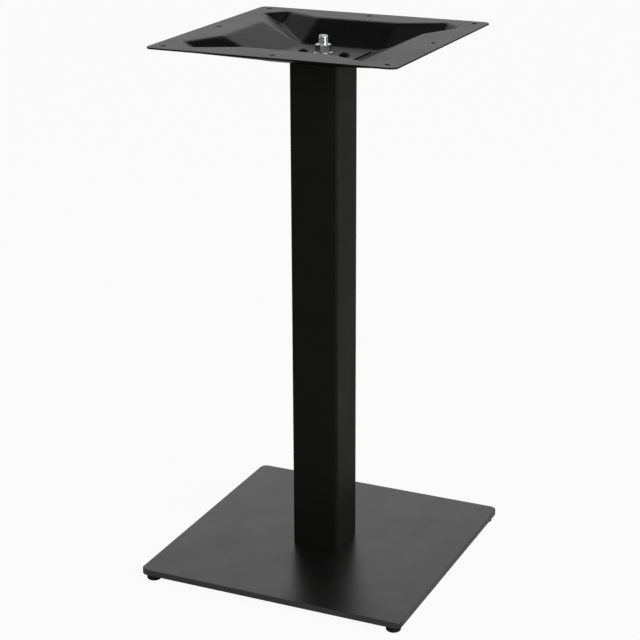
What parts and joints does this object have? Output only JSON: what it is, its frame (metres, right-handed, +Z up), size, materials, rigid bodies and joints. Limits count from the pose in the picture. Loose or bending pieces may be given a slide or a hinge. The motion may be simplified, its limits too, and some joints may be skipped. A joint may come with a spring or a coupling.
{
  "type": "square table base",
  "caption": "Square pedestal table base: flat foot plate on levelling feet, square tube column and a pressed pan that takes the table top, clamped together by a tie rod.",
  "frame": {"origin": "on the floor, under the middle of the column", "axes": "+Z up along the column, X and Y along the sides of the base plate, -Y to the front"},
  "size_m": [0.38, 0.38, 0.728],
  "materials": {
    "black_powder_coat": "satin black powder coat with a fine texture",
    "zinc_steel": "bright zinc plate",
    "black_plastic": "moulded matte black"
  },
  "bodies": {
    "stand": {"base_plate": "black_powder_coat", "column": "black_powder_coat", "lower_locator": "black_powder_coat", "upper_locator": "black_powder_coat", "top_pan": "black_powder_coat", "stiffening_plate": "black_powder_coat", "stiffener_rivets": "black_powder_coat", "tie_rod": "zinc_steel", "top_nut": "zinc_steel", "top_washer": "zinc_steel", "bottom_nut": "zinc_steel", "bottom_washer": "zinc_steel"},
    "foot_front_left": {"foot_pad_front_left": "black_plastic", "foot_stud_front_left": "zinc_steel"},
    "foot_front_right": {"foot_pad_front_right": "black_plastic", "foot_stud_front_right": "zinc_steel"},
    "foot_rear_left": {"foot_pad_rear_left": "black_plastic", "foot_stud_rear_left": "zinc_steel"},
    "foot_rear_right": {"foot_pad_rear_right": "black_plastic", "foot_stud_rear_right": "zinc_steel"}
  },
  "joints": [
    {"name": "level_front_left", "type": "slide", "parent": "stand", "child": "foot_front_left", "axis": [0, 0, -1], "range_m": [0, 0.003]},
    {"name": "level_front_right", "type": "slide", "parent": "stand", "child": "foot_front_right", "axis": [0, 0, -1], "range_m": [0, 0.003]},
    {"name": "level_rear_left", "type": "slide", "parent": "stand", "child": "foot_rear_left", "axis": [0, 0, -1], "range_m": [0, 0.003]},
    {"name": "level_rear_right", "type": "slide", "parent": "stand", "child": "foot_rear_right", "axis": [0, 0, -1], "range_m": [0, 0.003]}
  ]
}
